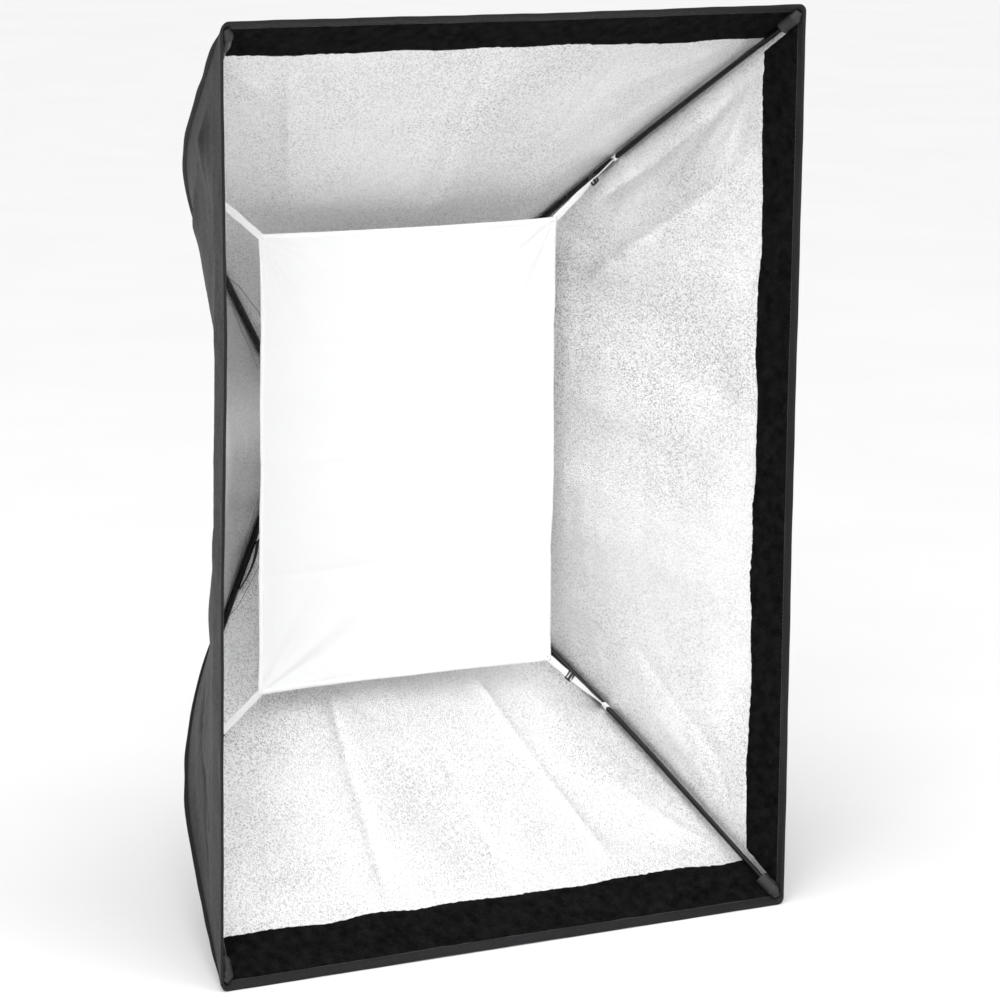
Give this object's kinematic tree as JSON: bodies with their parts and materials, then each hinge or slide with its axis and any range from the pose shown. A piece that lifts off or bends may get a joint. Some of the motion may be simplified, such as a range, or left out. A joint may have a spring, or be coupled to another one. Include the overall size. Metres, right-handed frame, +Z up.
{
  "type": "rectangular softbox",
  "caption": "Rectangular softbox for a studio light: black fabric shell with silver lining, bowed rods, recessed front lip, hung white inner baffle and a rotating three-lug speedring.",
  "frame": {"origin": "centre of the mount ring's rear face, the plane that seats on the light", "axes": "+Y back along the throat towards the light, the open front faces -Y; +Z up along the long side; +X to the right seen from the front"},
  "size_m": [0.7, 0.473, 1],
  "materials": {
    "cast_aluminium": "satin, lightly blasted",
    "plated_steel": "zinc plated",
    "nylon_shoe": "plain nylon",
    "moulded_knob": "fine texture",
    "moulded_cap": "smooth moulded",
    "black_spring_steel": "satin black lacquer",
    "grey_vinyl": "grained vinyl",
    "black_nylon": "plain-weave nylon, slight sheen",
    "silver_lining": "silver-coated cloth, crinkled, satin-metallic",
    "white_diffuser": "thin translucent white nylon",
    "white_elastic": "flat woven elastic",
    "black_loop_tape": "matte brushed loop pile",
    "black_webbing": "flat woven webbing"
  },
  "bodies": {
    "mount": {"mount_ring": "cast_aluminium"},
    "softbox": {"baffle": "white_diffuser", "baffle_hem": "white_diffuser", "baffle_strap_bottom_left": "white_elastic", "baffle_strap_bottom_right": "white_elastic", "baffle_strap_top_left": "white_elastic", "baffle_strap_top_right": "white_elastic", "corner_pocket_bottom_left": "grey_vinyl", "corner_pocket_bottom_right": "grey_vinyl", "corner_pocket_top_left": "grey_vinyl", "corner_pocket_top_right": "grey_vinyl", "corner_seam_bottom_left": "black_nylon", "corner_seam_bottom_right": "black_nylon", "corner_seam_top_left": "black_nylon", "corner_seam_top_right": "black_nylon", "front_hem": "black_nylon", "loop_tape_bottom": "black_loop_tape", "loop_tape_left": "black_loop_tape", "loop_tape_right": "black_loop_tape", "loop_tape_top": "black_loop_tape", "panel_bottom": "silver_lining", "panel_left": "silver_lining", "panel_right": "silver_lining", "panel_top": "silver_lining", "rear_collar": "black_nylon", "retaining_ring": "plated_steel", "ring_screws": "plated_steel", "rod_bottom_left": "black_spring_steel", "rod_bottom_right": "black_spring_steel", "rod_cap_bottom_left": "moulded_cap", "rod_cap_bottom_right": "moulded_cap", "rod_cap_top_left": "moulded_cap", "rod_cap_top_right": "moulded_cap", "rod_socket_bottom_left": "cast_aluminium", "rod_socket_bottom_right": "cast_aluminium", "rod_socket_top_left": "cast_aluminium", "rod_socket_top_right": "cast_aluminium", "rod_top_left": "black_spring_steel", "rod_top_right": "black_spring_steel", "socket_screws": "plated_steel", "speedring": "cast_aluminium", "strap_slider_bottom_left": "moulded_cap", "strap_slider_bottom_right": "moulded_cap", "strap_slider_top_left": "moulded_cap", "strap_slider_top_right": "moulded_cap", "tie_strap": "black_webbing"},
    "lock_slide": {"lock_shoe": "nylon_shoe"},
    "lock_knob": {"lock_screw": "plated_steel", "lock_knob": "moulded_knob"}
  },
  "joints": [
    {"name": "softbox_rotation", "type": "hinge", "parent": "mount", "child": "softbox", "pos_m": [0, 0, 0], "axis": [0, 1, 0], "continuous": true},
    {"name": "lock_travel", "type": "slide", "parent": "softbox", "child": "lock_slide", "axis": [0, 0, 1], "range_m": [0, 0.0021]},
    {"name": "knob_turn", "type": "hinge", "parent": "lock_slide", "child": "lock_knob", "pos_m": [0, -0.0058, 0.096], "axis": [0, 0, 1], "range_deg": [0, 720]}
  ],
  "couplings": [
    {"joint": "lock_travel", "follows": "knob_turn", "m_per_rad": 0.00015915}
  ]
}
